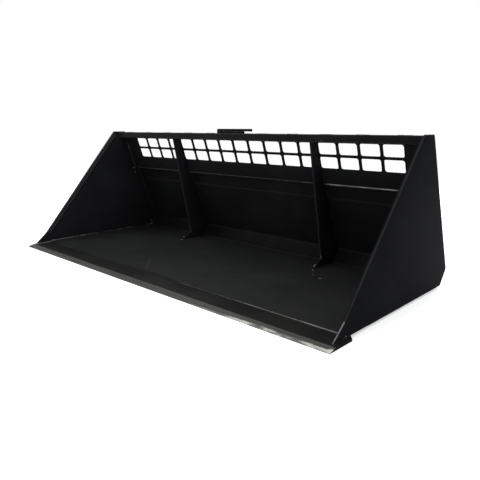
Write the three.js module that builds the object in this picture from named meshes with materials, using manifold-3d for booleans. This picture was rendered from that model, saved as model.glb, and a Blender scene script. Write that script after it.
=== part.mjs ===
// Snow and light-material bucket for a skid steer loader: a rigid weldment with a see-through screen.
// Millimetres. +X is the width, +Y runs from the cutting edge to the back, +Z is up.
// Outlines are drawn with y = 0 at the cutting edge tip and z = 0 at the underside of the floor sheet.
import * as THREE from 'three';
import * as BufferGeometryUtils from 'three/addons/utils/BufferGeometryUtils.js';
import Module from 'manifold-3d';

const wasm = await Module();
wasm.setup();

// ---- driving dimensions ----------------------------------------------------------------------
const GAP = 0.3;                    // clearance left at every welded joint
const BUCKET_WIDTH = 2438;          // over the outer faces of the side plates
const BUCKET_DEPTH = 1112;          // cutting edge tip to the rear of the side plates
const SIDE_HEIGHT = 767;            // side plate height
const SIDE_THICKNESS = 6.4;
const TOP_LAND = 103;               // length of the side plate's top edge
const TOP_CORNER_RADIUS = 16;
const HEEL_CHAMFER_RUN = 60;        // heel chamfer, front to back
const HEEL_CHAMFER_RISE = 78;       // heel chamfer, up
const HEEL_CORNER_RADIUS = 14;
const BACK_RAKE = THREE.MathUtils.degToRad(22.5);
const TOE_START = 44;               // front foot of the side plate behind the tip
const KNEE_RUN = 81;                // shallow toe of the side plate, front to back
const KNEE_RISE = 69;

const SHEET = 6.4;                  // floor, back and screen sheets
const BEND_RADIUS = 42;             // outer radius of the two heel bends
const BACK_INSET = 5;               // side plates stand proud of the back and the screen by this
const SHELL_ABOVE_HOOK = 8;         // shell's top edge above the quick-attach hook
const SCREEN_LAP = 57;              // lap of the screen sheet in front of the shell
const SCREEN_RAKE = THREE.MathUtils.degToRad(18.5);
const SILL_HEIGHT = 20;             // filler bar between the screen's foot and the shell

const EDGE_THICKNESS = 12.7;        // welded cutting edge
const EDGE_WIDTH = 178;
const EDGE_OVERHANG = 19;           // past each side plate
const EDGE_BEVEL = 42;
const EDGE_NOSE = 3;                // blunt nose under the bevel
const EDGE_CORNER_CUT = 20;
const FLOOR_LAP = 17;               // floor sheet laps over the cutting edge

const SIDE_BAR_WIDTH = 24;
const SIDE_BAR_THICKNESS = 4.8;
const SIDE_BAR_END_GAP = 12;        // each end of the bar to the corner of the side plate

const RAIL_SIZE = 41.3;             // square tube along the top
const RAIL_WALL = 4.8;
const RAIL_BELOW_TOP = 5;           // below the side plates' top edge

const SCREEN_PITCH = 127;
const SCREEN_SIDE_MARGIN = 130;     // least solid sheet from the screen's ends to its first holes
const SCREEN_ROWS = 2;
const SCREEN_HOLE_WIDTH = 111;
const SCREEN_HOLE_HEIGHT = 66;
const SCREEN_ROW_PITCH = 80;
const SCREEN_HOLE_RADIUS = 12;
const SCREEN_BELOW_RAIL = 4.5;      // rail underside to the top row of holes, down the screen

const RIB_SPACING = 1143;           // between the middles of the two ribs
const RIB_THICKNESS = 9.5;
const RIB_FOOT_RUN = 135;           // heel bend to the foot of the rib's front edge
const RIB_FOOT_HEIGHT = 50;
const RIB_TOE_LENGTH = 70;
const RIB_TOE_HEIGHT = 14;
const RIB_TOE_NOSE = 12;

const STEP_CENTRE = -11.5;          // the step sits this far from the middle
const STEP_LENGTH = 276;
const STEP_TEETH = 12;
const STEP_TOOTH_HEIGHT = 6;
const STEP_TOOTH_CREST = 0.5;       // flat top of a tooth as a share of the tooth pitch
const STEP_PLATE = 9;
const STEP_DEPTH = 26;
const RISER_LENGTH = 218;
const RISER_HEIGHT = 11;
const RISER_DEPTH = 20;
const RISER_WALL = 3;

const MOUNT_WIDTH = 1143;           // quick-attach frame over its outer gussets
const MOUNT_PLATE_WIDTH = 230;
const MOUNT_PLATE_THICKNESS = 9.5;
const MOUNT_STANDOFF = 45;          // side plates' rear edge to the front of the mounting plates
const MOUNT_BOTTOM = 40;            // up the slope from the heel corner
const MOUNT_HEIGHT = 450;
const GUSSET_THICKNESS = 9.5;
const HOOK_THICKNESS = 9.5;
const HOOK_SHELF = 18;              // shelf past the mounting plates' rear face
const HOOK_LIP = 44;
const HOOK_ANGLE = THREE.MathUtils.degToRad(45);
const HOOK_RADIUS = 14;
const FOOT_THICKNESS = 12.7;
const FOOT_LENGTH = 81;
const FOOT_ANGLE = THREE.MathUtils.degToRad(45);
const PIN_SLOT_WIDTH = 62;
const PIN_SLOT_HEIGHT = 34;
const PIN_SLOT_FLAT = 2;            // straight part of a slot's end
const PIN_SPACING = 1032;
const TIE_WIDTH = 90;

const WEAR_STRIP_WIDTH = 76;
const WEAR_STRIP_INSET = 60;        // side plate's outer face to the outer strip
const WEAR_STRIP_START = 12;        // behind the cutting edge
const WEAR_STRIP_END = 20;          // ahead of the heel bend

const ARC_STEPS = 8;                // straight pieces in each sheet bend
const HOLE_CORNER_STEPS = 5;        // straight pieces in each rounded hole corner

// ---- derived lines ---------------------------------------------------------------------------
const v2 = (x, y) => new THREE.Vector2(x, y);
const HEEL_BOTTOM = v2(BUCKET_DEPTH - HEEL_CHAMFER_RUN, 0);
const HEEL_REAR = v2(BUCKET_DEPTH, HEEL_CHAMFER_RISE);
const UP_BACK = v2(-Math.sin(BACK_RAKE), Math.cos(BACK_RAKE));
const OUT_BACK = v2(Math.cos(BACK_RAKE), Math.sin(BACK_RAKE));
const INNER_HALF = BUCKET_WIDTH / 2 - SIDE_THICKNESS;
const SCREEN_FREE_WIDTH = 2 * (INNER_HALF - SCREEN_SIDE_MARGIN);
const SCREEN_COLUMNS = Math.floor((SCREEN_FREE_WIDTH - SCREEN_HOLE_WIDTH) / SCREEN_PITCH) + 1;

// A point on the raked back: s up the slope from the heel corner, n out behind the rear edge.
function onBack(s, n) {
  return HEEL_REAR.clone().addScaledVector(UP_BACK, s).addScaledVector(OUT_BACK, n);
}

// The slope distance s at which a line n out of the rear edge reaches height z.
function slopeAtHeight(z, n) {
  return (z - HEEL_REAR.y - n * OUT_BACK.y) / UP_BACK.y;
}

const RAIL_TOP = SIDE_HEIGHT - RAIL_BELOW_TOP;
const RAIL_BOTTOM = RAIL_TOP - RAIL_SIZE;
const UP_SCREEN = v2(-Math.sin(SCREEN_RAKE), Math.cos(SCREEN_RAKE));
const SCREEN_TOP = onBack(slopeAtHeight(RAIL_TOP, -BACK_INSET), -BACK_INSET);

// A point on the screen: d down from its top edge, n in front of its rear face.
function onScreen(d, n) {
  const forward = v2(-UP_SCREEN.y, UP_SCREEN.x);
  return SCREEN_TOP.clone().addScaledVector(UP_SCREEN, -d).addScaledVector(forward, n);
}

// The distance d down the screen at which a line n in front of its rear face reaches height z.
function screenAtHeight(z, n) {
  return (RAIL_TOP - z + n * UP_SCREEN.x) / UP_SCREEN.y;
}

const RAIL_REAR_Y = onScreen(screenAtHeight(RAIL_TOP, SHEET + GAP), SHEET + GAP).x;
const RAIL_FRONT_Y = RAIL_REAR_Y - RAIL_SIZE;
const TOP_ROW_D = screenAtHeight(RAIL_BOTTOM, SHEET) + SCREEN_BELOW_RAIL + SCREEN_HOLE_HEIGHT / 2;
const FLOOR_FRONT_Y = EDGE_WIDTH - FLOOR_LAP;
const MOUNT_TOP = MOUNT_BOTTOM + MOUNT_HEIGHT;
const MOUNT_REAR = MOUNT_STANDOFF + MOUNT_PLATE_THICKNESS;
const SHELL_TOP_S = MOUNT_TOP + GAP + HOOK_THICKNESS + SHELL_ABOVE_HOOK;
const SCREEN_FOOT_Z = onBack(SHELL_TOP_S, -BACK_INSET).y - SCREEN_LAP;

// ---- helpers ---------------------------------------------------------------------------------
const leftOf = (d) => v2(-d.y, d.x);
const towards = (a, b) => b.clone().sub(a).normalize();

// Where two lines, each a point and a direction, cross.
function meet(a, da, b, db) {
  const t = b.clone().sub(a).cross(db) / da.cross(db);
  return a.clone().addScaledVector(da, t);
}

// A path with its corners rounded, kept a set distance to the left of the outer line.
function bentPath(corners, radius, offset) {
  const first = towards(corners[0], corners[1]);
  const path = [corners[0].clone().addScaledVector(leftOf(first), offset)];
  for (let i = 1; i < corners.length - 1; i += 1) {
    const before = towards(corners[i - 1], corners[i]);
    const after = towards(corners[i], corners[i + 1]);
    const turn = before.angleTo(after);
    const start = corners[i].clone().addScaledVector(before, -radius * Math.tan(turn / 2));
    const side = Math.sign(before.cross(after));
    const centre = start.clone().addScaledVector(leftOf(before), side * radius);
    const arm = leftOf(before).multiplyScalar(-side * (radius - side * offset));
    for (let k = 0; k <= ARC_STEPS; k += 1) {
      const swung = arm.clone().rotateAround(v2(0, 0), (side * turn * k) / ARC_STEPS);
      path.push(centre.clone().add(swung));
    }
  }
  const last = corners.length - 1;
  const final = towards(corners[last - 1], corners[last]);
  path.push(corners[last].clone().addScaledVector(leftOf(final), offset));
  return path;
}

// A closed outline with chosen corners rounded; radii holds one radius per corner, 0 for sharp.
function roundedOutline(corners, radii) {
  const outline = [];
  corners.forEach((corner, i) => {
    if (radii[i] === 0) {
      outline.push(corner);
      return;
    }
    const previous = corners[(i + corners.length - 1) % corners.length];
    const next = corners[(i + 1) % corners.length];
    outline.push(...bentPath([previous, corner, next], radii[i], 0).slice(1, -1));
  });
  return outline;
}

function sheetOutline(corners, radius, thickness) {
  return [...bentPath(corners, radius, 0), ...bentPath(corners, radius, thickness).reverse()];
}

function extrude(shape, depth) {
  const curveSegments = HOLE_CORNER_STEPS;
  return new THREE.ExtrudeGeometry(shape, { depth, bevelEnabled: false, curveSegments });
}

// Extrudes an outline drawn in (y, z) along X.
function alongX(outline, x0, x1, holes = []) {
  const shape = new THREE.Shape(outline);
  holes.forEach((hole) => shape.holes.push(new THREE.Path(hole)));
  const turn = new THREE.Matrix4().makeBasis(
    new THREE.Vector3(0, 1, 0),
    new THREE.Vector3(0, 0, 1),
    new THREE.Vector3(1, 0, 0),
  );
  turn.setPosition(x0, 0, 0);
  return extrude(shape, x1 - x0).applyMatrix4(turn);
}

// Lays a shape drawn in (x, u) on a plane whose u axis is the (y, z) direction given, and
// thickens it along x cross u: for a direction that points up, that is towards the mouth.
function onPlane(shape, thickness, origin, up) {
  const u = new THREE.Vector3(0, up.x, up.y);
  const x = new THREE.Vector3(1, 0, 0);
  const turn = new THREE.Matrix4().makeBasis(x, u, x.clone().cross(u));
  turn.setPosition(0, origin.x, origin.y);
  return extrude(shape, thickness).applyMatrix4(turn);
}

function roundedRectangle(target, cx, cy, width, height, radius) {
  const x = width / 2 - radius;
  const y = height / 2 - radius;
  target.absarc(cx + x, cy + y, radius, 0, Math.PI / 2, false);
  target.absarc(cx - x, cy + y, radius, Math.PI / 2, Math.PI, false);
  target.absarc(cx - x, cy - y, radius, Math.PI, Math.PI * 1.5, false);
  target.absarc(cx + x, cy - y, radius, Math.PI * 1.5, Math.PI * 2, false);
  target.closePath();
  return target;
}

function solid(geometry) {
  const bare = geometry.clone();
  bare.deleteAttribute('normal');
  bare.deleteAttribute('uv');
  const merged = BufferGeometryUtils.mergeVertices(bare, 1e-4);
  const vertProperties = new Float32Array(merged.attributes.position.array);
  const triVerts = new Uint32Array(merged.index.array);
  return new wasm.Manifold(new wasm.Mesh({ numProp: 3, vertProperties, triVerts }));
}

function cut(body, tools) {
  const left = tools.reduce((kept, tool) => kept.subtract(solid(tool)), solid(body)).getMesh();
  const geometry = new THREE.BufferGeometry();
  geometry.setAttribute('position', new THREE.BufferAttribute(new Float32Array(left.vertProperties), 3));
  geometry.setIndex(new THREE.BufferAttribute(new Uint32Array(left.triVerts), 1));
  geometry.computeVertexNormals();
  return geometry;
}

const bucket = new THREE.Group();
const SATIN_BLACK = { color: 0x17181a, roughness: 0.5, metalness: 0.1 };
const BARE_EDGE = { color: 0x4b4d4b, roughness: 0.42, metalness: 0.6 };

function add(name, geometry, look = SATIN_BLACK) {
  const mesh = new THREE.Mesh(geometry, new THREE.MeshStandardMaterial(look));
  mesh.name = name;
  bucket.add(mesh);
}

// Calls build with the side's name and sign for the left (-X) and the right (+X).
function bothSides(build) {
  build('left', -1);
  build('right', 1);
}

// Extrudes an outline between two distances from the middle, on the side given by the sign.
function alongSide(outline, sign, near, far) {
  return sign > 0 ? alongX(outline, near, far) : alongX(outline, -far, -near);
}

// ---- side plates -----------------------------------------------------------------------------
const topRearY = onBack(slopeAtHeight(SIDE_HEIGHT, 0), 0).x;
const TOE = v2(TOE_START, 0);
const KNEE = v2(TOE_START + KNEE_RUN, KNEE_RISE);
const TOP_FRONT = v2(topRearY - TOP_LAND, SIDE_HEIGHT);
const TOP_REAR = v2(topRearY, SIDE_HEIGHT);

function addSidePlates() {
  const corners = [TOE, HEEL_BOTTOM, HEEL_REAR, TOP_REAR, TOP_FRONT, KNEE];
  const radii = [0, HEEL_CORNER_RADIUS, HEEL_CORNER_RADIUS, TOP_CORNER_RADIUS, TOP_CORNER_RADIUS, 0];
  const outline = roundedOutline(corners, radii);
  bothSides((side, sign) => {
    add(`side_plate_${side}`, alongSide(outline, sign, INNER_HALF, BUCKET_WIDTH / 2));
  });
}

// Flat bars on the inner faces, along the sloped front edges.
function addSideBars() {
  const along = towards(KNEE, TOP_FRONT);
  const inward = leftOf(along).multiplyScalar(-SIDE_BAR_WIDTH);
  const low = KNEE.clone().addScaledVector(along, SIDE_BAR_END_GAP);
  const high = TOP_FRONT.clone().addScaledVector(along, -SIDE_BAR_END_GAP);
  const outline = [low, low.clone().add(inward), high.clone().add(inward), high];
  const face = INNER_HALF - GAP;
  bothSides((side, sign) => {
    add(`side_edge_bar_${side}`, alongSide(outline, sign, face - SIDE_BAR_THICKNESS, face));
  });
}

// ---- floor, back and screen ------------------------------------------------------------------
function shellCorners(startY) {
  const chamfer = towards(HEEL_BOTTOM, HEEL_REAR);
  const onChamfer = HEEL_BOTTOM.clone().addScaledVector(leftOf(chamfer), BACK_INSET);
  const onRear = onBack(0, -BACK_INSET);
  const low = meet(v2(0, 0), v2(1, 0), onChamfer, chamfer);
  const rear = meet(onChamfer, chamfer, onRear, UP_BACK);
  return [v2(startY, 0), low, rear, onBack(SHELL_TOP_S, -BACK_INSET)];
}

function addShell() {
  const outline = sheetOutline(shellCorners(FLOOR_FRONT_Y), BEND_RADIUS, SHEET);
  add('floor_back_shell', alongX(outline, -INNER_HALF + GAP, INNER_HALF - GAP));
}

function addScreen() {
  const shape = new THREE.Shape();
  const half = INNER_HALF - GAP;
  const foot = -screenAtHeight(SCREEN_FOOT_Z, SHEET);
  shape.moveTo(-half, foot);
  shape.lineTo(half, foot);
  shape.lineTo(half, 0);
  shape.lineTo(-half, 0);
  shape.closePath();
  for (let row = 0; row < SCREEN_ROWS; row += 1) {
    for (let column = 0; column < SCREEN_COLUMNS; column += 1) {
      const x = (column - (SCREEN_COLUMNS - 1) / 2) * SCREEN_PITCH;
      const d = TOP_ROW_D + row * SCREEN_ROW_PITCH;
      const size = [SCREEN_HOLE_WIDTH, SCREEN_HOLE_HEIGHT, SCREEN_HOLE_RADIUS];
      shape.holes.push(roundedRectangle(new THREE.Path(), x, -d, ...size));
    }
  }
  add('screen_panel', onPlane(shape, SHEET, SCREEN_TOP, UP_SCREEN));
}

// A bar that fills the wedge between the screen's foot and the shell behind it.
function addSill() {
  const inner = -BACK_INSET - SHEET - GAP;
  const low = SCREEN_FOOT_Z;
  const high = low + SILL_HEIGHT;
  const outline = [
    onScreen(screenAtHeight(low, -GAP), -GAP),
    onBack(slopeAtHeight(low, inner), inner),
    onBack(slopeAtHeight(high, inner), inner),
    onScreen(screenAtHeight(high, -GAP), -GAP),
  ];
  add('screen_sill', alongX(outline, -INNER_HALF + GAP, INNER_HALF - GAP));
}

function addTopRail() {
  const outline = [
    v2(RAIL_FRONT_Y, RAIL_BOTTOM),
    v2(RAIL_REAR_Y, RAIL_BOTTOM),
    v2(RAIL_REAR_Y, RAIL_TOP),
    v2(RAIL_FRONT_Y, RAIL_TOP),
  ];
  const bore = [
    v2(RAIL_FRONT_Y + RAIL_WALL, RAIL_BOTTOM + RAIL_WALL),
    v2(RAIL_REAR_Y - RAIL_WALL, RAIL_BOTTOM + RAIL_WALL),
    v2(RAIL_REAR_Y - RAIL_WALL, RAIL_TOP - RAIL_WALL),
    v2(RAIL_FRONT_Y + RAIL_WALL, RAIL_TOP - RAIL_WALL),
  ];
  add('top_rail', alongX(outline, -INNER_HALF + GAP, INNER_HALF - GAP, [bore]));
}

// ---- inner ribs ------------------------------------------------------------------------------
// Each rib stands on the floor, follows the heel and the back and ends under the top rail.
function addRibs() {
  const footY = HEEL_BOTTOM.x - RIB_FOOT_RUN;
  const toeY = footY - RIB_TOE_LENGTH;
  const backing = bentPath(shellCorners(toeY - RIB_TOE_NOSE), BEND_RADIUS, SHEET + GAP).slice(0, -1);
  const onShell = -BACK_INSET - SHEET - GAP;
  const onPanel = SHEET + GAP;
  const notch = SCREEN_FOOT_Z - GAP;
  const ribTop = RAIL_BOTTOM - GAP;
  const outline = [
    ...backing,
    onBack(slopeAtHeight(notch, onShell), onShell),
    onScreen(screenAtHeight(notch, onPanel), onPanel),
    onScreen(screenAtHeight(ribTop, onPanel), onPanel),
    v2(RAIL_FRONT_Y, ribTop),
    v2(footY, RIB_FOOT_HEIGHT),
    v2(toeY, SHEET + RIB_TOE_HEIGHT),
  ];
  bothSides((side, sign) => {
    const middle = RIB_SPACING / 2;
    const near = middle - RIB_THICKNESS / 2;
    add(`rib_${side}`, alongSide(outline, sign, near, near + RIB_THICKNESS));
  });
}

// ---- cutting edge and wear strips ------------------------------------------------------------
function addCuttingEdge() {
  const half = BUCKET_WIDTH / 2 + EDGE_OVERHANG;
  const top = -GAP;
  const bottom = top - EDGE_THICKNESS;
  const outline = [
    v2(0, bottom),
    v2(EDGE_WIDTH, bottom),
    v2(EDGE_WIDTH, top),
    v2(EDGE_BEVEL, top),
    v2(0, bottom + EDGE_NOSE),
  ];
  const side = EDGE_CORNER_CUT * Math.SQRT2;
  const cutterHeight = 2 * EDGE_THICKNESS;
  const corners = [-1, 1].map((sign) => {
    const cutter = new THREE.BoxGeometry(side, side, cutterHeight).rotateZ(Math.PI / 4);
    return cutter.translate(sign * half, EDGE_WIDTH, (bottom + top) / 2);
  });
  add('cutting_edge', cut(alongX(outline, -half, half), corners), BARE_EDGE);
}

function addWearStrips() {
  const top = -GAP;
  const outline = [
    v2(EDGE_WIDTH + WEAR_STRIP_START, top - EDGE_THICKNESS),
    v2(HEEL_BOTTOM.x - WEAR_STRIP_END - EDGE_THICKNESS, top - EDGE_THICKNESS),
    v2(HEEL_BOTTOM.x - WEAR_STRIP_END, top),
    v2(EDGE_WIDTH + WEAR_STRIP_START, top),
  ];
  bothSides((side, sign) => {
    const far = BUCKET_WIDTH / 2 - WEAR_STRIP_INSET;
    add(`wear_strip_outer_${side}`, alongSide(outline, sign, far - WEAR_STRIP_WIDTH, far));
    const near = RIB_SPACING / 2 - WEAR_STRIP_WIDTH / 2;
    add(`wear_strip_inner_${side}`, alongSide(outline, sign, near, near + WEAR_STRIP_WIDTH));
  });
}

// ---- serrated step ---------------------------------------------------------------------------
function addStep() {
  const left = STEP_CENTRE - STEP_LENGTH / 2;
  const riserFront = RAIL_FRONT_Y + (RAIL_SIZE - RISER_DEPTH) / 2;
  const riserBottom = RAIL_TOP + GAP;
  const rectangle = (inset) => [
    v2(riserFront + inset, riserBottom + inset),
    v2(riserFront + RISER_DEPTH - inset, riserBottom + inset),
    v2(riserFront + RISER_DEPTH - inset, riserBottom + RISER_HEIGHT - inset),
    v2(riserFront + inset, riserBottom + RISER_HEIGHT - inset),
  ];
  add('step_riser', alongX(rectangle(0), left, left + RISER_LENGTH, [rectangle(RISER_WALL)]));

  const base = riserBottom + RISER_HEIGHT + GAP;
  const pitch = STEP_LENGTH / STEP_TEETH;
  const flank = (pitch * (1 - STEP_TOOTH_CREST)) / 2;
  const crest = base + STEP_PLATE + STEP_TOOTH_HEIGHT;
  const profile = new THREE.Shape();
  profile.moveTo(left, base);
  profile.lineTo(left + STEP_LENGTH, base);
  profile.lineTo(left + STEP_LENGTH, base + STEP_PLATE);
  for (let tooth = STEP_TEETH - 1; tooth >= 0; tooth -= 1) {
    const start = left + tooth * pitch;
    profile.lineTo(start + pitch - flank, crest);
    profile.lineTo(start + flank, crest);
    profile.lineTo(start, base + STEP_PLATE);
  }
  profile.closePath();
  const rear = v2(riserFront + STEP_DEPTH, 0);
  add('step_tread', onPlane(profile, STEP_DEPTH, rear, v2(0, 1)));
}

// ---- quick-attach frame ----------------------------------------------------------------------
function backRectangle(s0, s1, n0, n1) {
  return [onBack(s0, n1), onBack(s1, n1), onBack(s1, n0), onBack(s0, n0)];
}

function addMountPlates() {
  const outline = backRectangle(MOUNT_BOTTOM, MOUNT_TOP, MOUNT_STANDOFF, MOUNT_REAR);
  const far = MOUNT_WIDTH / 2;
  bothSides((side, sign) => {
    add(`attach_plate_${side}`, alongSide(outline, sign, far - MOUNT_PLATE_WIDTH, far));
  });
  const tie = backRectangle(MOUNT_BOTTOM, MOUNT_BOTTOM + TIE_WIDTH, MOUNT_STANDOFF, MOUNT_REAR);
  const reach = far - MOUNT_PLATE_WIDTH - GAP;
  add('attach_lower_tie', alongX(tie, -reach, reach));
}

// Gussets fill the space between the bucket's back and the mounting plates.
function addGussets() {
  const outline = backRectangle(MOUNT_BOTTOM, MOUNT_TOP, -BACK_INSET + GAP, MOUNT_STANDOFF - GAP);
  const outer = MOUNT_WIDTH / 2 - GUSSET_THICKNESS;
  const inner = MOUNT_WIDTH / 2 - MOUNT_PLATE_WIDTH;
  bothSides((side, sign) => {
    add(`attach_gusset_outer_${side}`, alongSide(outline, sign, outer, outer + GUSSET_THICKNESS));
    add(`attach_gusset_inner_${side}`, alongSide(outline, sign, inner, inner + GUSSET_THICKNESS));
  });
}

// A shelf over the mounting plates whose rear is bent down into the hook for the coupler.
function addTopHook() {
  const s = MOUNT_TOP + GAP + HOOK_THICKNESS;
  const shelfEnd = MOUNT_REAR + HOOK_SHELF;
  const fall = Math.sin(HOOK_ANGLE) * HOOK_LIP;
  const reach = Math.cos(HOOK_ANGLE) * HOOK_LIP;
  const corners = [onBack(s - fall, shelfEnd + reach), onBack(s, shelfEnd), onBack(s, -BACK_INSET + GAP)];
  const outline = sheetOutline(corners, HOOK_RADIUS, HOOK_THICKNESS);
  add('attach_top_hook', alongX(outline, -MOUNT_WIDTH / 2, MOUNT_WIDTH / 2));
}

// Angled feet under the mounting plates, with the slots that the coupler's locking pins enter.
// A foot's upper end is cut level with the plate's lower edge and carries the plate and gussets.
function addFeet() {
  const up = UP_BACK.clone().rotateAround(v2(0, 0), FOOT_ANGLE);
  const under = leftOf(up);
  const seat = MOUNT_BOTTOM - GAP;
  const heel = onBack(seat, MOUNT_REAR);
  const toe = heel.clone().addScaledVector(up, -FOOT_LENGTH);
  const outline = [
    heel,
    onBack(seat, MOUNT_REAR - FOOT_THICKNESS / Math.sin(FOOT_ANGLE)),
    toe.clone().addScaledVector(under, FOOT_THICKNESS),
    toe,
  ];
  const slotStart = toe.clone().addScaledVector(under, -FOOT_THICKNESS);
  const far = MOUNT_WIDTH / 2;
  bothSides((side, sign) => {
    const slot = new THREE.Shape();
    const size = [PIN_SLOT_WIDTH, PIN_SLOT_HEIGHT, PIN_SLOT_HEIGHT / 2 - PIN_SLOT_FLAT / 2];
    roundedRectangle(slot, (sign * PIN_SPACING) / 2, FOOT_LENGTH / 2, ...size);
    const tool = onPlane(slot, 3 * FOOT_THICKNESS, slotStart, up);
    const plate = alongSide(outline, sign, far - MOUNT_PLATE_WIDTH, far);
    add(`attach_foot_${side}`, cut(plate, [tool]));
  });
}

// ---- assembly --------------------------------------------------------------------------------
addSidePlates();
addSideBars();
addShell();
addScreen();
addSill();
addTopRail();
addRibs();
addCuttingEdge();
addWearStrips();
addStep();
addMountPlates();
addGussets();
addTopHook();
addFeet();

// The frame's origin is the bottom centre of the whole bucket.
const box = new THREE.Box3().setFromObject(bucket);
const middle = box.getCenter(new THREE.Vector3());
bucket.children.forEach((mesh) => mesh.geometry.translate(-middle.x, -middle.y, -box.min.z));

export default bucket;
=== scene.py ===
"""Looks of a snow and light-material bucket for a skid steer loader.

Metres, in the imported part's own frame: +X is the width, +Y runs from the cutting edge to the
back and +Z is up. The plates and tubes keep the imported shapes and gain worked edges; the weld
metal and the finishes are made here.
"""

import sys

import logging
import math
from collections.abc import Callable, Iterable, Sequence
from dataclasses import dataclass, field, replace
from enum import Enum

import bmesh
import bpy
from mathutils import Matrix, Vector


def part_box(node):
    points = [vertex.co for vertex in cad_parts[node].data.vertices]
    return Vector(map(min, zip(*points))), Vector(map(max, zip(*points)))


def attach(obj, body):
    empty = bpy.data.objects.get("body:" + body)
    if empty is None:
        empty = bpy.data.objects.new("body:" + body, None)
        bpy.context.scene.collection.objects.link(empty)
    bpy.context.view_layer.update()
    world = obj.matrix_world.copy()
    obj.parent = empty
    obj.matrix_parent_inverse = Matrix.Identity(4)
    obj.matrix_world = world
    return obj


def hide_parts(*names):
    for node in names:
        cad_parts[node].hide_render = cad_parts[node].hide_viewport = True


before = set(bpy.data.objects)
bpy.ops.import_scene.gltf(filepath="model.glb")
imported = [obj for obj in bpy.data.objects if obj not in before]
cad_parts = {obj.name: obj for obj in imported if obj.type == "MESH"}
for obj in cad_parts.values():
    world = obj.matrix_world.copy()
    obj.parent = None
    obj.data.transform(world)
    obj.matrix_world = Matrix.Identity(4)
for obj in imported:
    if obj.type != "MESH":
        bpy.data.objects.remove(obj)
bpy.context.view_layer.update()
log = logging.getLogger("bucket")

Point = tuple[float, float, float]
Flat = tuple[float, float]
Colour = tuple[float, float, float, float]
MERGE_DISTANCE = 0.00002
FLAT_ANGLE = math.radians(0.6)      # faces nearer than this to one plane become one face
EASE_ANGLE = math.radians(35)       # edges sharper than this are eased
SMOOTH_ANGLE = math.radians(30)


class Side(Enum):
    """The two ends of the bucket."""

    LEFT = -1
    RIGHT = 1

    @property
    def word(self) -> str:
        """The side's name as piece names spell it."""
        return self.name.lower()


# ---- shader building --------------------------------------------------------------------------
@dataclass(frozen=True)
class Value:
    """A number that varies over a surface. Arithmetic on it adds Math nodes."""

    graph: "Graph"
    socket: bpy.types.NodeSocket

    def __add__(self, other: "Value | float") -> "Value":
        """Sum."""
        return self.graph.math("ADD", self, other)

    def __radd__(self, other: float) -> "Value":
        """Sum, with a plain number first."""
        return self.graph.math("ADD", other, self)

    def __sub__(self, other: "Value | float") -> "Value":
        """Difference."""
        return self.graph.math("SUBTRACT", self, other)

    def __rsub__(self, other: float) -> "Value":
        """Difference, with a plain number first."""
        return self.graph.math("SUBTRACT", other, self)

    def __mul__(self, other: "Value | float") -> "Value":
        """Product."""
        return self.graph.math("MULTIPLY", self, other)

    def __rmul__(self, other: float) -> "Value":
        """Product, with a plain number first."""
        return self.graph.math("MULTIPLY", other, self)

    def __or__(self, other: "Value") -> "Value":
        """The larger of two masks."""
        return self.graph.math("MAXIMUM", self, other)

    def step(self, low: float, high: float) -> "Value":
        """A soft step from 0 at low to 1 at high; low may be the larger."""
        return self.graph.ramped(self, low, high, 0.0, 1.0)

    def spread(self, low: float, high: float) -> "Value":
        """The 0 to 1 range stretched to run from low to high."""
        return self.graph.ramped(self, 0.0, 1.0, low, high)


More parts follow.
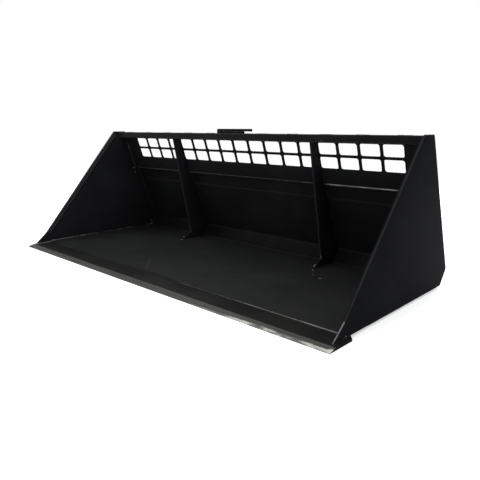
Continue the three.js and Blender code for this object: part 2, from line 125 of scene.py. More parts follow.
class Graph:
    """Builds a node tree from typed calls."""

    def __init__(self, tree: bpy.types.NodeTree) -> None:
        """Empties the tree.

        Args:
            tree: The node tree of a material or of the world.
        """
        self.tree = tree
        self.tree.nodes.clear()

    def node(self, kind: str, settings: dict | None = None, inputs: dict | None = None) -> bpy.types.Node:
        """Adds any node.

        Args:
            kind: The node's type name.
            settings: Properties set before the sockets are filled.
            inputs: Values or links of its sockets, by name or number.

        Returns:
            The new node.
        """
        made = self.tree.nodes.new(kind)
        for key, value in (settings or {}).items():
            setattr(made, key, value)
        for key, value in (inputs or {}).items():
            source = value.socket if isinstance(value, Value) else value
            if isinstance(source, bpy.types.NodeSocket):
                self.tree.links.new(source, made.inputs[key])
            else:
                made.inputs[key].default_value = source
        return made

    def math(self, operation: str, *operands: "Value | float", clamp: bool = False) -> Value:
        """A Math node on values and plain numbers."""
        settings = {"operation": operation, "use_clamp": clamp}
        return Value(self, self.node("ShaderNodeMath", settings, dict(enumerate(operands))).outputs[0])

    def ramped(self, value: Value, low: float, high: float, start: float, end: float) -> Value:
        """Maps low to high onto start to end along an S curve, held at both ends.

        Args:
            value: The value to map.
            low: Where the curve begins.
            high: Where it ends; may be below low.
            start: The result at low.
            end: The result at high.

        Returns:
            The mapped value.
        """
        inputs = {"Value": value, "From Min": low, "From Max": high, "To Min": start, "To Max": end}
        settings = {"interpolation_type": "SMOOTHSTEP"}
        return Value(self, self.node("ShaderNodeMapRange", settings, inputs).outputs[0])

    def vector(self, operation: str, *operands: object) -> bpy.types.Node:
        """A Vector Math node on vectors."""
        return self.node("ShaderNodeVectorMath", {"operation": operation}, dict(enumerate(operands)))

    def place(self) -> bpy.types.NodeSocket:
        """The surface point in the part's own frame."""
        return self.node("ShaderNodeTexCoord").outputs["Object"]

    def axis(self, name: str) -> Value:
        """One coordinate of the surface point, by its letter."""
        split = self.node("ShaderNodeSeparateXYZ", inputs={"Vector": self.place()})
        return Value(self, split.outputs[name])

    def facing(self, name: str) -> Value:
        """One coordinate of the surface normal, by its letter.

        Args:
            name: "X", "Y" or "Z".

        Returns:
            The coordinate, from -1 to 1.
        """
        normal = self.node("ShaderNodeNewGeometry").outputs["Normal"]
        split = self.node("ShaderNodeSeparateXYZ", inputs={"Vector": normal})
        return Value(self, split.outputs[name])

    def noise(self, size: float, stretch: Point = (1, 1, 1), shift: float = 0.0,
              detail: float = 3.0) -> Value:
        """Cloudy noise from 0 to 1.

        Args:
            size: Width of a typical patch in metres.
            stretch: How many times longer the patches are along each axis.
            shift: Moves the pattern, so that two calls differ.
            detail: Number of finer layers.

        Returns:
            The noise value.
        """
        scale = tuple(1 / (size * length) for length in stretch)
        inputs = {"Vector": self.place(), "Location": (shift, 1.7 * shift, -shift), "Scale": scale}
        mapped = self.node("ShaderNodeMapping", inputs=inputs)
        inputs = {"Vector": mapped.outputs[0], "Scale": 1.0, "Detail": detail, "Roughness": 0.55}
        return Value(self, self.node("ShaderNodeTexNoise", inputs=inputs).outputs[0])

    def cells(self, size: float, shift: float = 0.0) -> Value:
        """Distance to the nearest of many scattered points, in shares of their spacing.

        Args:
            size: The usual spacing in metres.
            shift: Moves the pattern.

        Returns:
            The distance.
        """
        inputs = {"Vector": self.place(), "Location": (shift, shift, shift), "Scale": (1 / size,) * 3}
        mapped = self.node("ShaderNodeMapping", inputs=inputs)
        inputs = {"Vector": mapped.outputs[0], "Scale": 1.0}
        return Value(self, self.node("ShaderNodeTexVoronoi", inputs=inputs).outputs["Distance"])

    def mixed(self, factor: Value, under: object, over: object) -> bpy.types.NodeSocket:
        """Colour over another by a factor."""
        inputs = {0: factor, 6: under, 7: over}
        return self.node("ShaderNodeMix", {"data_type": "RGBA"}, inputs).outputs[2]

    def near_line(self, start: Point, end: Point, full: float, gone: float) -> Value:
        """1 within a distance of a straight line, fading to 0 at a larger one.

        Args:
            start: One end of the line.
            end: The other end.
            full: The distance that still gives 1.
            gone: The distance that gives 0.

        Returns:
            The mask.
        """
        along = Vector(end) - Vector(start)
        away = self.vector("SUBTRACT", self.place(), start).outputs[0]
        reach = Value(self, self.vector("DOT_PRODUCT", away, tuple(along)).outputs["Value"])
        share = self.math("MULTIPLY", reach, 1 / along.length_squared, clamp=True)
        inputs = {0: tuple(along), "Scale": share}
        scaled = self.node("ShaderNodeVectorMath", {"operation": "SCALE"}, inputs)
        gap = self.vector("SUBTRACT", away, scaled.outputs[0]).outputs[0]
        return Value(self, self.vector("LENGTH", gap).outputs["Value"]).step(gone, full)

    def near_point(self, centre: Point, full: float, gone: float) -> Value:
        """1 within a distance of a point, fading to 0 at a larger one."""
        return Value(self, self.vector("DISTANCE", self.place(), centre).outputs["Value"]).step(gone, full)


# ---- finishes ---------------------------------------------------------------------------------
@dataclass(frozen=True)
class WornLine:
    """A straight edge where the coat is thin or rubbed through."""

    start: Point
    end: Point
    full: float = 0.002
    gone: float = 0.007
    strength: float = 0.6


@dataclass(frozen=True)
class Mark:
    """A small round place where the coat is chipped to bright metal."""

    centre: Point
    size: float = 0.006


@dataclass(frozen=True)
class Finish:
    """What a face looks like. Sizes are in metres; colours are linear."""

    name: str

    def surface(self, graph: Graph) -> dict[str, object]:
        """The inputs of the finish's shader, built in a graph."""
        raise NotImplementedError

    def material(self) -> bpy.types.Material:
        """Builds the finish's material.

        Returns:
            The new material, which ends in one shader.
        """
        made = bpy.data.materials.new(self.name)
        made.use_nodes = True
        graph = Graph(made.node_tree)
        shader = graph.node("ShaderNodeBsdfPrincipled", inputs=self.surface(graph))
        graph.node("ShaderNodeOutputMaterial", inputs={"Surface": shader.outputs[0]})
        return made


@dataclass(frozen=True)
class Paint(Finish):
    """Satin black paint over rolled plate, with shop dust, scuffs and rubbed edges, and painted light that
    lightens the coat towards the left end.

    flow is the direction that scratches run along.
    """

    colour: Colour = (0.0084, 0.0086, 0.0096, 1)
    roughness: float = 0.40
    specular: float = 0.006
    dust: float = 0.03
    dust_colour: Colour = (0.064, 0.068, 0.061, 1)
    painted_left_light: float = 0.0
    scuffs: float = 0.25
    wave: float = 0.0012
    peel: float = 0.16
    flow: Point = (14, 1, 1)
    worn: tuple[WornLine, ...] = ()
    marks: tuple[Mark, ...] = ()
    steel: Colour = (0.30, 0.30, 0.285, 1)

    def surface(self, graph: Graph) -> dict[str, object]:
        """Lays dust, scuffs and bare metal over the coat.

        Args:
            graph: The graph that the nodes go into.

        Returns:
            The shader's inputs by name.
        """
        clouds = graph.noise(0.34, detail=4.0)
        fine = graph.noise(0.012, shift=3.1, detail=4.0)
        up = graph.facing("Z").step(0.80, 0.98)
        settled = graph.noise(0.16, shift=5.3, detail=5.0).step(0.30, 0.72)
        dust = up * settled.spread(0.80, 1.0) * self.dust + clouds.step(0.50, 0.85) * (0.30 * self.dust)
        # Painted light: the dust mask also lifts the coat towards the left end (low X), where more light
        # falls.
        dust = dust + graph.axis("X").step(1.25, -1.25) * self.painted_left_light
        lines = graph.noise(0.0035, self.flow, shift=1.9, detail=2.0).step(0.66, 0.74)
        rubbed = graph.noise(0.09, shift=7.7, detail=3.0).step(0.50, 0.72)
        scuffs = lines * rubbed * self.scuffs
        bare = self.bare(graph)
        paler = tuple(1.5 * c for c in self.colour[:3]) + (1,)
        coat = graph.mixed(clouds.step(0.25, 0.80), self.colour, paler)
        coat = graph.mixed(scuffs, coat, (0.085, 0.087, 0.085, 1))
        coat = graph.mixed(dust, coat, self.dust_colour)
        coat = graph.mixed(bare, coat, self.steel)
        roughness = (clouds.spread(-0.07, 0.07) + fine.spread(-0.05, 0.05) + self.roughness
                     + dust * 0.5 + scuffs * 0.10 - bare * 0.08)
        return {
            "Base Color": coat,
            "Roughness": roughness,
            "Metallic": bare * 0.75,
            "Specular IOR Level": self.specular,
            "Normal": self.relief(graph, fine, bare),
        }

    def bare(self, graph: Graph) -> Value:
        """Where the metal shows, from 0 to 1.

        Args:
            graph: The graph that the nodes go into.

        Returns:
            The mask.
        """
        nicks = graph.cells(0.030, shift=2.2).step(0.085, 0.06)
        shown = nicks * graph.noise(0.5, shift=9.1).step(0.62, 0.72) * 0.5
        ragged = graph.noise(0.02, shift=4.4, detail=4.0)
        chips = graph.noise(0.0060, shift=5.5, detail=2.0).step(0.44, 0.52)
        for line in self.worn:
            near = graph.near_line(line.start, line.end, line.full, line.gone)
            shown = shown | (near * ragged.step(0.20, 0.55).spread(0.45, 1.0) * line.strength)
        for mark in self.marks:
            near = graph.near_point(mark.centre, 0.6 * mark.size, mark.size)
            shown = shown | near * chips
        return shown

    def relief(self, graph: Graph, fine: Value, bare: Value) -> bpy.types.NodeSocket:
        """The coat's fine texture over the plate's own slow waviness.

        Args:
            graph: The graph that the nodes go into.
            fine: The fine noise that roughness shares.
            bare: Where the coat is gone.

        Returns:
            The bumped normal.
        """
        slow = graph.noise(0.42, shift=6.2, detail=1.0)
        inputs = {"Height": slow, "Distance": self.wave, "Strength": 1.0}
        plate = graph.node("ShaderNodeBump", inputs=inputs)
        peel = graph.noise(0.0045, shift=8.8, detail=2.0) + fine * 0.6 - bare * 0.8
        inputs = {"Height": peel, "Distance": 0.0004, "Strength": self.peel, "Normal": plate.outputs[0]}
        return graph.node("ShaderNodeBump", inputs=inputs).outputs[0]


@dataclass(frozen=True)
class GroundEdge(Finish):
    """The cutting edge: painted plate whose ground bevel is rubbed back to streaky steel."""

    name: str = "cutting_edge_steel"
    front: float = -0.611
    bevel_end: float = -0.569
    half_width: float = 1.238
    bevel_colour: Colour = (0.074, 0.075, 0.069, 1)
    bright: Colour = (0.44, 0.44, 0.41, 1)
    coat: Colour = (0.0080, 0.0084, 0.0079, 1)
    dusty: Colour = (0.0135, 0.0145, 0.0130, 1)

    def surface(self, graph: Graph) -> dict[str, object]:
        """Wears the bevel to streaks and the tip to bright steel, with painted glint towards the right end
        and painted shade on the end faces.

        Args:
            graph: The graph that the nodes go into.

        Returns:
            The shader's inputs by name.
        """
        y = graph.axis("Y")
        fine = graph.noise(0.010, shift=1.3, detail=4.0)
        bevel = (y + fine.spread(-0.004, 0.004)).step(self.bevel_end + 0.003, self.bevel_end - 0.003)
        bevel = bevel * graph.facing("Z").step(0.1, 0.6)
        ends = graph.math("ABSOLUTE", graph.facing("X")).step(0.5, 0.8)
        streaks = graph.noise(0.0030, (60, 1, 1), shift=2.7, detail=3.0)
        blotches = graph.noise(0.11, (2.2, 1, 1), shift=5.9, detail=4.0)
        darker = tuple(0.62 * c for c in self.bevel_colour[:3]) + (1,)
        tone = graph.mixed(streaks.step(0.35, 0.70), darker, self.bevel_colour)
        tone = graph.mixed(blotches.step(0.60, 0.76) * streaks.step(0.42, 0.62) * 0.25, tone, self.bright)
        flat = graph.mixed(graph.noise(0.20, shift=3.3, detail=5.0).step(0.30, 0.70), self.coat, self.dusty)
        lines = graph.noise(0.003, (1, 18, 1), shift=7.1, detail=2.0).step(0.64, 0.72)
        flat = graph.mixed(lines * blotches.step(0.45, 0.65) * 0.35, flat, (0.10, 0.10, 0.095, 1))
        # Worn steel with painted glint: the bright tip reaches further and shows more towards the right
        # end, and a bright patch sits at the bevel's right corner.
        right_end_wear_and_glint = graph.axis("X").step(0.20, 1.05)
        reach = right_end_wear_and_glint.spread(0.002, 0.017) + fine.spread(-0.005, 0.005)
        rubbed = graph.noise(0.05, (3, 1, 1), shift=8.3, detail=4.0).step(0.32, 0.60).spread(0.15, 1.0)
        tip = (y - self.front - reach).step(0.004, -0.004) * right_end_wear_and_glint.spread(0.12, 1.0) * rubbed * (1 - ends)
        corner = (self.half_width - 0.004, self.front + 0.012, 0.003)
        tip = tip | graph.near_point(corner, 0.010, 0.022) * bevel
        # Painted shade: faces turned across the bucket, the edge's two ends, get a much darker coat.
        flat = graph.mixed(ends, flat, tuple(0.35 * c for c in self.coat[:3]) + (1,))
        colour = graph.mixed(bevel, flat, tone)
        colour = graph.mixed(tip, colour, self.bright)
        metal = bevel * 0.10 | tip * 0.35
        roughness = graph.ramped(bevel, 0.0, 1.0, 0.52, 0.40) + streaks.spread(-0.08, 0.08)
        height = streaks * bevel + fine * 0.5
        inputs = {"Height": height, "Distance": 0.0006, "Strength": 0.35}
        relief = graph.node("ShaderNodeBump", inputs=inputs)
        return {
            "Base Color": colour,
            "Roughness": roughness,
            "Metallic": metal,
            "Specular IOR Level": 0.02,
            "Normal": relief.outputs[0],
        }


@dataclass(frozen=True)
class WeldMetal(Finish):
    """Weld metal under a thin coat, lighter where the coat is thin, with brighter spans and stretches
    painted along it.

    spans are lengths along X painted brighter and by how much, on the screen's foot weld a painted
    highlight; stretches are brighter lines.
    """

    colour: Colour = (0.0060, 0.0061, 0.0066, 1)
    bright: Colour = (0.30, 0.30, 0.29, 1)
    thin: float = 0.12
    roughness: float = 0.34
    spans: tuple[tuple[float, float, float], ...] = ()
    stretches: tuple[WornLine, ...] = ()

    def surface(self, graph: Graph) -> dict[str, object]:
        """Lets the metal shine through where the coat is thin and paints the brighter spans and stretches.

        Args:
            graph: The graph that the nodes go into.

        Returns:
            The shader's inputs by name.
        """
        patches = graph.noise(0.06, shift=2.1, detail=4.0).step(0.50, 0.70)
        fine = graph.noise(0.006, shift=4.7, detail=3.0)
        shine = (patches * 0.8 + 0.2) * self.thin
        for line in self.stretches:
            near = graph.near_line(line.start, line.end, line.full, line.gone)
            broken = graph.noise(0.05, shift=3.9, detail=4.0).step(0.25, 0.60)
            shine = shine | (near * broken * line.strength)
        x = graph.axis("X")
        # Brighter spans along X; on the screen's foot weld these are a painted highlight.
        for low, high, strength in self.spans:
            inside = x.step(low - 0.03, low + 0.03) * x.step(high + 0.03, high - 0.03) * strength
            uneven = graph.noise(0.11, shift=6.6, detail=4.0).step(0.28, 0.66).spread(0.35, 1.0)
            shine = shine | (inside * uneven)
        colour = graph.mixed(shine, self.colour, self.bright)
        relief = graph.node("ShaderNodeBump", inputs={"Height": fine, "Distance": 0.0005, "Strength": 0.3})
        return {
            "Base Color": colour,
            "Roughness": fine.spread(self.roughness - 0.08, self.roughness + 0.10),
            "Metallic": shine * 0.8,
            "Specular IOR Level": 0.05,
            "Normal": relief.outputs[0],
        }


@dataclass(frozen=True)
class PaleFloor(Finish):
    """The studio's plain floor."""

    shade: Colour = (0.86, 0.86, 0.86, 1)
    glow: float = 0.50

    def surface(self, graph: Graph) -> dict[str, object]:
        """A dull, even, slightly glowing white.

        Args:
            graph: The graph, to which nothing is added.

        Returns:
            The shader's inputs by name.
        """
        return {
            "Base Color": self.shade,
            "Roughness": 0.9,
            "Specular IOR Level": 0.0,
            "Emission Color": (1, 1, 1, 1),
            "Emission Strength": self.glow,
        }


# ---- the bucket's section ---------------------------------------------------------------------
@dataclass(frozen=True)
class Section:
    """The bucket seen from the side, as (y, z): the lines that sheets, ribs and welds follow."""

    heel_rear: Flat = (0.5010, 0.0910)
    floor_under: float = 0.0130
    chamfer_run: float = 0.060
    chamfer_rise: float = 0.078
    back_rake: float = math.radians(22.5)
    screen_rake: float = math.radians(18.5)
    inset: float = 0.005
    sheet: float = 0.0064
    bend_radius: float = 0.042
    floor_front: float = -0.4500
    shell_top: float = 0.5078
    rail_top: float = 0.7750
    screen_foot: float = 0.5012
    arc_steps: int = 8

    def on_back(self, along: float, out: float) -> Vector:
        """A point up the raked back and out behind its rear edge.

        Args:
            along: How far up the slope from the heel.
            out: How far behind the side plates' rear edge.

        Returns:
            The point as (y, z).
        """
        up = Vector((-math.sin(self.back_rake), math.cos(self.back_rake)))
        behind = Vector((math.cos(self.back_rake), math.sin(self.back_rake)))
        return Vector(self.heel_rear) + along * up + out * behind

    def on_screen(self, height: float, front: float) -> Vector:
        """A point on the screen at a height, some way in front of its rear face.

        Args:
            height: The point's z.
            front: How far in front of the rear face.

        Returns:
            The point as (y, z).
        """
        drop = (self.rail_top - self.heel_rear[1] + self.inset * math.sin(self.back_rake))
        top = self.on_back(drop / math.cos(self.back_rake), -self.inset)
        behind = math.tan(self.screen_rake) * (self.rail_top - height)
        return Vector((top.x + behind - front / math.cos(self.screen_rake), height))

    def shell(self, depth: float) -> list[Vector]:
        """The bent sheet's line at a depth inside its outer face, from the mouth to the top.

        Args:
            depth: 0 for the outer face, the sheet's thickness for the inner one.

        Returns:
            The line's points as (y, z).
        """
        heel = Vector((self.heel_rear[0] - self.chamfer_run, self.floor_under))
        slope = Vector((self.chamfer_run, self.chamfer_rise)).normalized()
        inward = Vector((-slope.y, slope.x))
        base = heel + self.inset * inward
        low = base + slope * ((self.floor_under - base.y) / slope.y)
        rear = self.on_back(0, -self.inset)
        up = Vector((-math.sin(self.back_rake), math.cos(self.back_rake)))
        reach = rear - base
        turn = reach.x * up.y - reach.y * up.x
        high = base + slope * (turn / (slope.x * up.y - slope.y * up.x))
        front = Vector((self.floor_front, self.floor_under))
        corners = [front, low, high, self.on_back(self.shell_top, -self.inset)]
        return self.bent(corners, depth)

    def bent(self, corners: Sequence[Vector], depth: float) -> list[Vector]:
        """Rounds a path's corners and shifts it to its left by a depth.

        Args:
            corners: The path before it is rounded.
            depth: How far it is shifted.

        Returns:
            The rounded path.
        """
        line = []
        for index, corner in enumerate(corners):
            before = (corner - corners[index - 1]).normalized() if index else None
            after = (corners[index + 1] - corner).normalized() if index < len(corners) - 1 else None
            if before is None or after is None:
                way = after or before
                line.append(corner + depth * Vector((-way.y, way.x)))
                continue
            turn = before.angle(after)
            start = corner - before * self.bend_radius * math.tan(turn / 2)
            centre = start + self.bend_radius * Vector((-before.y, before.x))
            for step in range(self.arc_steps + 1):
                angle = math.atan2(before.y, before.x) - math.pi / 2 + turn * step / self.arc_steps
                reach = self.bend_radius - depth
                line.append(centre + reach * Vector((math.cos(angle), math.sin(angle))))
        return line


def along_side(x: float, line: Iterable[Vector]) -> list[Point]:
    """Sets a (y, z) line at a distance across the bucket."""
    return [(x, point.x, point.y) for point in line]


def trimmed(line: Sequence[Vector], start: float, end: float) -> list[Vector]:
    """The part of a line between two distances along it.

    Args:
        line: The whole line.
        start: Where the part begins.
        end: Where it ends.

    Returns:
        The part's points.
    """
    kept, walked = [], 0.0
    for here, there in zip(line, line[1:]):
        length = (there - here).length
        low, high = max(start, walked), min(end, walked + length)
        if low < high:
            kept.append(here.lerp(there, (low - walked) / length))
            if high < walked + length or there is line[-1]:
                kept.append(here.lerp(there, (high - walked) / length))
        walked += length
    return kept


def span(line: Sequence[Vector]) -> float:
    """A line's length."""
    return sum((b - a).length for a, b in zip(line, line[1:]))


# ---- modelling --------------------------------------------------------------------------------
class Bench:
    """Shapes meshes with Blender's own operators."""

    @staticmethod
    def clear() -> None:
        """Leaves nothing selected."""
        if bpy.context.object and bpy.context.object.mode != "OBJECT":
            bpy.ops.object.mode_set(mode="OBJECT")
        bpy.ops.object.select_all(action="DESELECT")

    @staticmethod
    def hold(piece: bpy.types.Object) -> None:
        """Selects one object alone and makes it the active one.

        Args:
            piece: The object.
        """
        Bench.clear()
        piece.select_set(True)
        bpy.context.view_layer.objects.active = piece

    @staticmethod
    def pick(piece: bpy.types.Object, wanted: Callable[[Vector], bool]) -> None:
        """Selects, in edit mode, the vertices whose places are wanted.

        Args:
            piece: The object being edited.
            wanted: Says whether a vertex at a place is wanted.
        """
        bpy.ops.mesh.select_mode(type="VERT")
        bpy.ops.mesh.select_all(action="DESELECT")
        shape = bmesh.from_edit_mesh(piece.data)
        for vertex in shape.verts:
            vertex.select = wanted(vertex.co)
        shape.select_flush_mode()
        bmesh.update_edit_mesh(piece.data)

    @staticmethod
    def apply(piece: bpy.types.Object, kind: str, **settings: object) -> None:
        """Adds a modifier, sets it and applies it.

        Args:
            piece: The object.
            kind: The modifier's type name.
            **settings: Its properties.
        """
        Bench.hold(piece)
        modifier = piece.modifiers.new(kind.title(), kind)
        for key, value in settings.items():
            setattr(modifier, key, value)
        bpy.ops.object.modifier_apply(modifier=modifier.name)

    @staticmethod
    def joined(name: str, parts: Sequence[bpy.types.Object]) -> bpy.types.Object:
        """Joins objects into one and names it.

        Args:
            name: The name of the whole.
            parts: What is joined.

        Returns:
            The joined object.
        """
        Bench.clear()
        for part in parts:
            part.select_set(True)
        bpy.context.view_layer.objects.active = parts[0]
        if len(parts) > 1:
            bpy.ops.object.join()
        whole = bpy.context.object
        whole.name = name
        whole.data.name = name
        Bench.clear()
        return whole


@dataclass
class Plate:
    """A packed plate or tube with its edges eased, as ground and painted steel has them."""

    node: str
    ease: float = 0.0008
    segments: int = 2

    def build(self) -> bpy.types.Object:
        """Copies the node's mesh, merges it and eases its edges.

        Returns:
            The new piece, with a second material place for the eased edges.
        """
        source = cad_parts[self.node]
        piece = bpy.data.objects.new(f"{self.node}_finished", source.data.copy())
        bpy.context.scene.collection.objects.link(piece)
        piece.data.materials.clear()
        Bench.hold(piece)
        bpy.ops.object.mode_set(mode="EDIT")
        bpy.ops.mesh.select_all(action="SELECT")
        bpy.ops.mesh.remove_doubles(threshold=MERGE_DISTANCE)
        bpy.ops.mesh.dissolve_limited(angle_limit=FLAT_ANGLE)
        bpy.ops.object.mode_set(mode="OBJECT")
        if piece.data.has_custom_normals:
            bpy.ops.mesh.customdata_custom_splitnormals_clear()
        piece.data.materials.append(None)
        piece.data.materials.append(None)
        Bench.apply(piece, "BEVEL", width=self.ease, segments=self.segments, limit_method="ANGLE",
                    angle_limit=EASE_ANGLE, material=1, miter_outer="MITER_ARC")
        Bench.hold(piece)
        bpy.ops.object.shade_smooth_by_angle(angle=SMOOTH_ANGLE)
        Bench.clear()
        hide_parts(self.node)
        return piece


@dataclass
class Bead:
    """A run of weld metal, rippled as it was laid down.

    The run is a round rope whose middle lies in the corner between two plates, so a quarter of
    it shows as a fillet.
    """

    radius: float = 0.0048
    pitch: float = 0.0046
    sides: int = 8
    swell: float = 1.16
    lean: float = 0.22
    roughness: float = 0.0012

    def rope(self, length: float) -> bpy.types.Object:
        """A straight rippled run along +X from the origin.

        Args:
            length: The run's length in metres.

        Returns:
            The new mesh object.
        """
        count = max(2, round(length / self.pitch))
        pitch = length / count
        Bench.clear()
        bpy.ops.mesh.primitive_cylinder_add(
            vertices=self.sides, radius=self.radius, depth=pitch, end_fill_type="NOTHING",
            location=(pitch / 2, 0, 0), rotation=(0, math.pi / 2, 0),
        )
        run = bpy.context.object
        bpy.ops.object.transform_apply(location=True, rotation=True, scale=True)
        bpy.ops.object.mode_set(mode="EDIT")
        bpy.ops.mesh.select_all(action="DESELECT")
        bpy.ops.mesh.select_mode(type="EDGE")
        shape = bmesh.from_edit_mesh(run.data)
        for edge in shape.edges:
            edge.select = abs(edge.verts[0].co.x - edge.verts[1].co.x) > pitch / 2
        bmesh.update_edit_mesh(run.data)
        bpy.ops.mesh.subdivide(number_cuts=1)
        Bench.pick(run, lambda co: abs(co.x - pitch / 2) < pitch / 8)
        centre = (pitch / 2, 0, 0)
        bpy.ops.transform.resize(value=(1, self.swell, self.swell), center_override=centre)
        bpy.ops.transform.translate(value=(self.lean * pitch, 0, 0))
        bpy.ops.object.mode_set(mode="OBJECT")
        Bench.apply(run, "ARRAY", count=count, use_relative_offset=False, use_constant_offset=True,
                    constant_offset_displace=(pitch, 0, 0), use_merge_vertices=True,
                    merge_threshold=pitch * 0.02)
        self.close(run, 0.0, -0.5 * self.radius)
        self.close(run, length, 0.5 * self.radius)
        return run

    def close(self, run: bpy.types.Object, end: float, reach: float) -> None:
        """Draws one end of a run in to a rounded stop.

        Args:
            run: The run.
            end: Where its open end is along X.
            reach: How far the stop goes past it.
        """
        Bench.hold(run)
        bpy.ops.object.mode_set(mode="EDIT")
        Bench.pick(run, lambda co: abs(co.x - end) < self.pitch * 0.05)
        bpy.ops.mesh.select_mode(type="EDGE")
        bpy.ops.mesh.extrude_region_move(TRANSFORM_OT_translate={"value": (reach, 0, 0)})
        bpy.ops.transform.resize(value=(1, 0.55, 0.55), center_override=(end + reach, 0, 0))
        bpy.ops.mesh.edge_face_add()
        bpy.ops.object.mode_set(mode="OBJECT")

    def lay(self, path: Sequence[Point]) -> bpy.types.Object:
        """Lays a run along a path of points.

        Args:
            path: The points that the run's middle follows.

        Returns:
            The run, in place.
        """
        points = [Vector(point) for point in path]
        run = self.rope(sum((b - a).length for a, b in zip(points, points[1:])))
        guide = bpy.data.curves.new("weld_guide", "CURVE")
        guide.dimensions = "3D"
        guide.twist_mode = "MINIMUM"
        line = guide.splines.new("POLY")
        line.points.add(len(points) - 1)
        for slot, point in zip(line.points, points):
            slot.co = (*point, 1)
        rail = bpy.data.objects.new("weld_guide", guide)
        bpy.context.scene.collection.objects.link(rail)
        Bench.apply(run, "CURVE", object=rail, deform_axis="POS_X")
        bpy.data.objects.remove(rail)
        bpy.data.curves.remove(guide)
        return run

    def finish(self, name: str, runs: Sequence[bpy.types.Object]) -> bpy.types.Object:
        """Joins runs, roughens them slightly and smooths their shading.

        Args:
            name: The piece's name.
            runs: The runs that it is made of.

        Returns:
            The finished weld.
        """
        whole = Bench.joined(name, runs)
        clouds = bpy.data.textures.new("weld_lumps", "CLOUDS")
        clouds.noise_scale = 0.016
        Bench.apply(whole, "DISPLACE", texture=clouds, strength=self.roughness, mid_level=0.5,
                    texture_coords="LOCAL")
        bpy.data.textures.remove(clouds)
        Bench.hold(whole)
        bpy.ops.mesh.customdata_custom_splitnormals_clear()
        bpy.ops.object.shade_smooth()
        Bench.clear()
        return whole

    def seam(self, name: str, path: Sequence[Point]) -> bpy.types.Object:
        """One unbroken weld along a path."""
        return self.finish(name, [self.lay(path)])

    def stitches(self, name: str, start: Point, step: Point, length: Point, count: int) -> bpy.types.Object:
        """A row of short welds, modelled once and repeated.

        Args:
            name: The piece's name.
            start: Where the first stitch begins.
            step: From one stitch's beginning to the next one's.
            length: From a stitch's beginning to its end.
            count: How many there are.

        Returns:
            The row as one piece.
        """
        end = tuple(a + b for a, b in zip(start, length))
        run = self.lay([start, end])
        Bench.apply(run, "ARRAY", count=count, use_relative_offset=False, use_constant_offset=True,
                    constant_offset_displace=step)
        return self.finish(name, [run])


# ---- sub-assemblies ---------------------------------------------------------------------------
@dataclass
class Assembly:
    """A group of pieces that are built and dressed together."""

    section: Section = field(default_factory=Section)
    inner: float = 1.2126
    outer: float = 1.2190

    def dress(self, piece: bpy.types.Object, slot: str, finish: Finish,
              edge: Finish | None = None) -> None:
        """Gives a piece its materials and its body.

        Args:
            piece: The piece.
            slot: The record's material slot; unused.
            finish: The finish of its faces.
            edge: The finish of its eased edges, if it has them.
        """
        coats = [finish] if edge is None else [finish, edge]
        while len(piece.data.materials) < len(coats):
            piece.data.materials.append(None)
        for index, coat in enumerate(coats):
            piece.data.materials[index] = Coats.of(coat)
        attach(piece, "root")
        log.info("%s: %d faces, %s", piece.name, len(piece.data.polygons), finish.name)


class Coats:
    """The materials made so far, one for each finish."""

    made: dict[str, bpy.types.Material] = {}

    @classmethod
    def of(cls, finish: Finish) -> bpy.types.Material:
        """The finish's material, made on its first use.

        Args:
            finish: The finish.

        Returns:
            Its material.
        """
        if finish.name not in cls.made:
            cls.made[finish.name] = finish.material()
        return cls.made[finish.name]


EASED = Paint("eased_edge_paint", colour=(0.0095, 0.0097, 0.0103, 1), roughness=0.36, dust=0.02,
              scuffs=0.5, specular=0.15, peel=0.1)
# A pale paint for eased edges: a painted highlight along the left side bar's edges.
EDGE_HIGHLIGHT_PAINT = Paint("edge_highlight_paint", colour=(0.055, 0.055, 0.054, 1), roughness=0.34, scuffs=0.6,
               specular=0.15, peel=0.1)
WELD = WeldMetal("weld_metal_painted")


